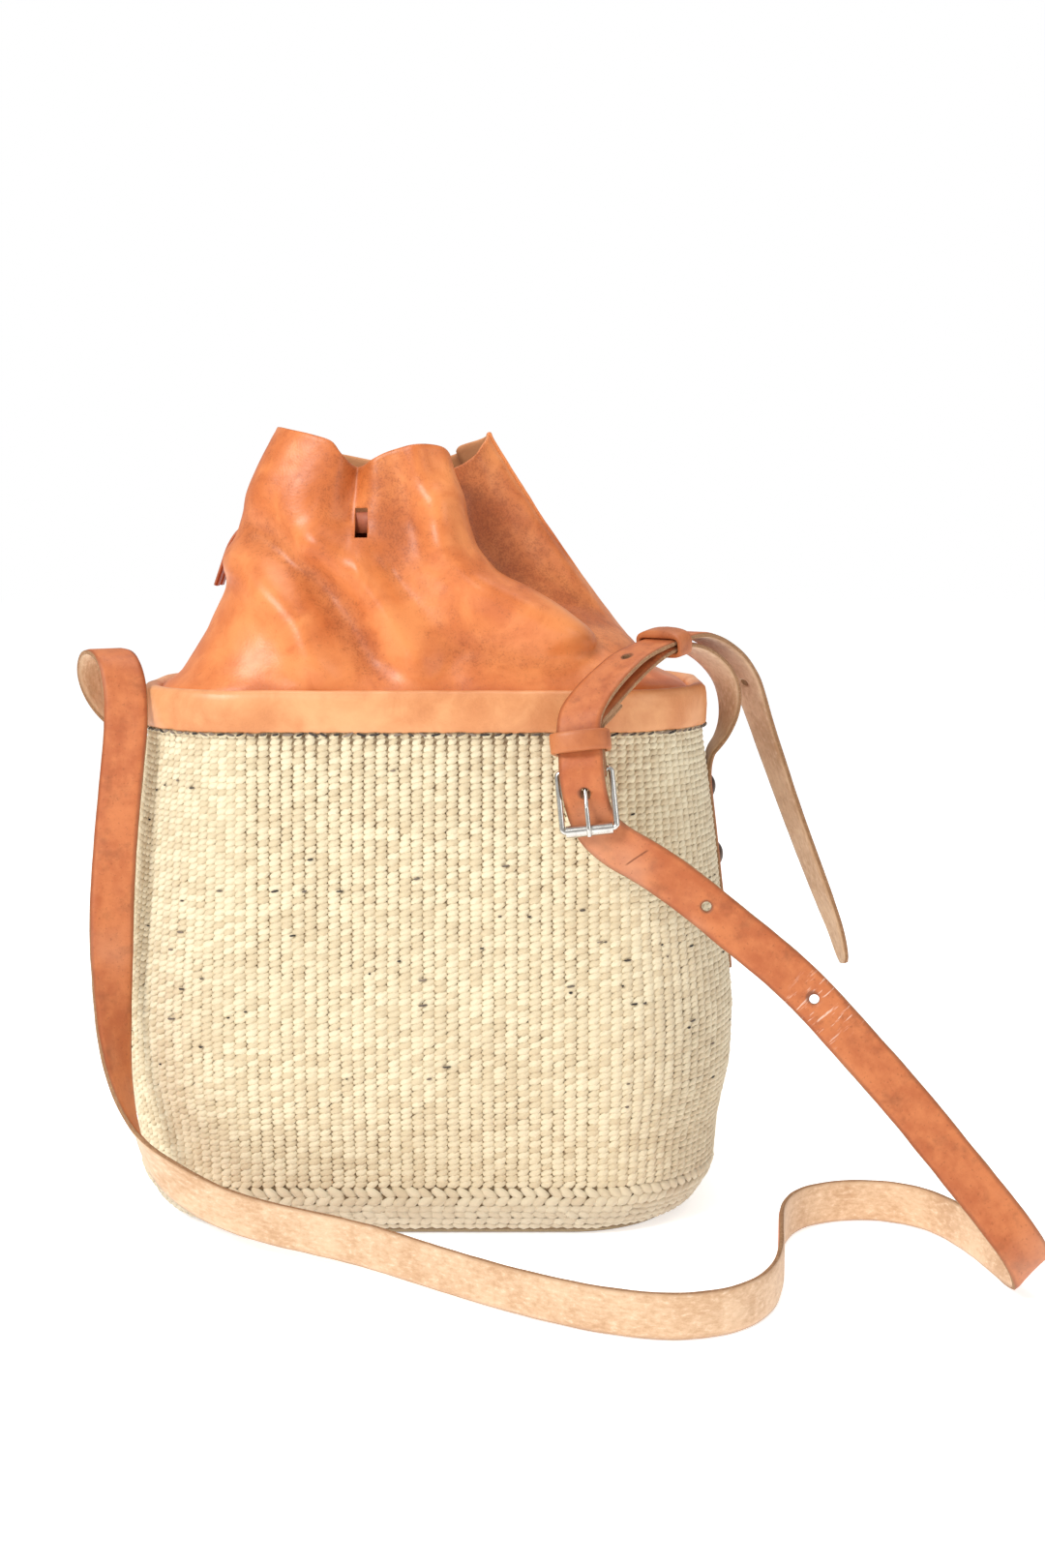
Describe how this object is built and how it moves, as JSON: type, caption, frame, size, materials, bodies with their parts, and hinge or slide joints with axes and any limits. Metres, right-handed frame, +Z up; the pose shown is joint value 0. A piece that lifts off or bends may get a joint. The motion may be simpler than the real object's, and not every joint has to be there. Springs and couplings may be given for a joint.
{
  "type": "bucket bag",
  "caption": "Woven bucket basket with a leather rim, a gathered drawstring collar and a long riveted shoulder strap closed by a roller buckle.",
  "frame": {"origin": "middle of the woven base, on the ground", "axes": "+Z up, +X across the bag towards the buckle strap's side, -Y is the front"},
  "size_m": [0.4367, 0.2814, 0.375],
  "materials": {
    "sisal": "twined natural fibre, matt",
    "rim_leather": "smooth tan leather, satin",
    "collar_leather": "soft mottled orange-tan leather, satin",
    "strap_leather": "thick tan leather, fleshy underside",
    "thread": "dark waxed thread",
    "buckle_nickel": "polished nickel",
    "rivet_metal": "darkened steel, domed",
    "drawstring_leather": "red-brown leather thong",
    "backing_leather": "plain leather patch"
  },
  "bodies": {
    "bag": {"woven_basket": "sisal", "rim_binding": "rim_leather", "rim_stitching": "thread", "collar": "collar_leather", "collar_stitching": "thread", "shoulder_strap": "strap_leather", "buckle_strap": "strap_leather", "backing_patch_left": "backing_leather", "backing_patch_right": "backing_leather", "rivet_left_1": "rivet_metal", "burr_left_1": "rivet_metal", "rivet_left_2": "rivet_metal", "burr_left_2": "rivet_metal", "rivet_left_3": "rivet_metal", "burr_left_3": "rivet_metal", "rivet_right_1": "rivet_metal", "burr_right_1": "rivet_metal", "rivet_right_2": "rivet_metal", "burr_right_2": "rivet_metal", "rivet_right_3": "rivet_metal", "burr_right_3": "rivet_metal"},
    "drawstring": {"drawstring": "drawstring_leather"},
    "buckle": {"buckle_frame": "buckle_nickel"},
    "roller": {"buckle_roller": "buckle_nickel"},
    "prong": {"buckle_prong": "buckle_nickel"},
    "lower_keeper": {"lower_keeper": "strap_leather"},
    "upper_keeper": {"upper_keeper": "strap_leather"}
  },
  "joints": [
    {"name": "collar_slouch", "type": "slide", "parent": "bag", "child": "drawstring", "axis": [0, 0, 1], "range_m": [-0.025, 0], "deforming": ["collar"]},
    {"name": "buckle_swing", "type": "hinge", "parent": "bag", "child": "buckle", "pos_m": [0.07343, -0.10102, 0.22198], "axis": [-0.9849, 0.1201, -0.125], "range_deg": [0, 3]},
    {"name": "roller_spin", "type": "hinge", "parent": "buckle", "child": "roller", "pos_m": [0.0759, -0.107, 0.1968], "axis": [0.9849, -0.1201, 0.125], "continuous": true},
    {"name": "prong_lift", "type": "hinge", "parent": "buckle", "child": "prong", "pos_m": [0.07343, -0.10102, 0.22198], "axis": [-0.9849, 0.1201, -0.125], "range_deg": [0, 4]},
    {"name": "lower_keeper_slide", "type": "slide", "parent": "bag", "child": "lower_keeper", "axis": [-0.0949, 0.2299, 0.9686], "range_m": [-0.002, 0]},
    {"name": "upper_keeper_slide", "type": "slide", "parent": "bag", "child": "upper_keeper", "axis": [0.6532, 0.7331, 0.1898], "range_m": [-0.0015, 0.0015]}
  ]
}
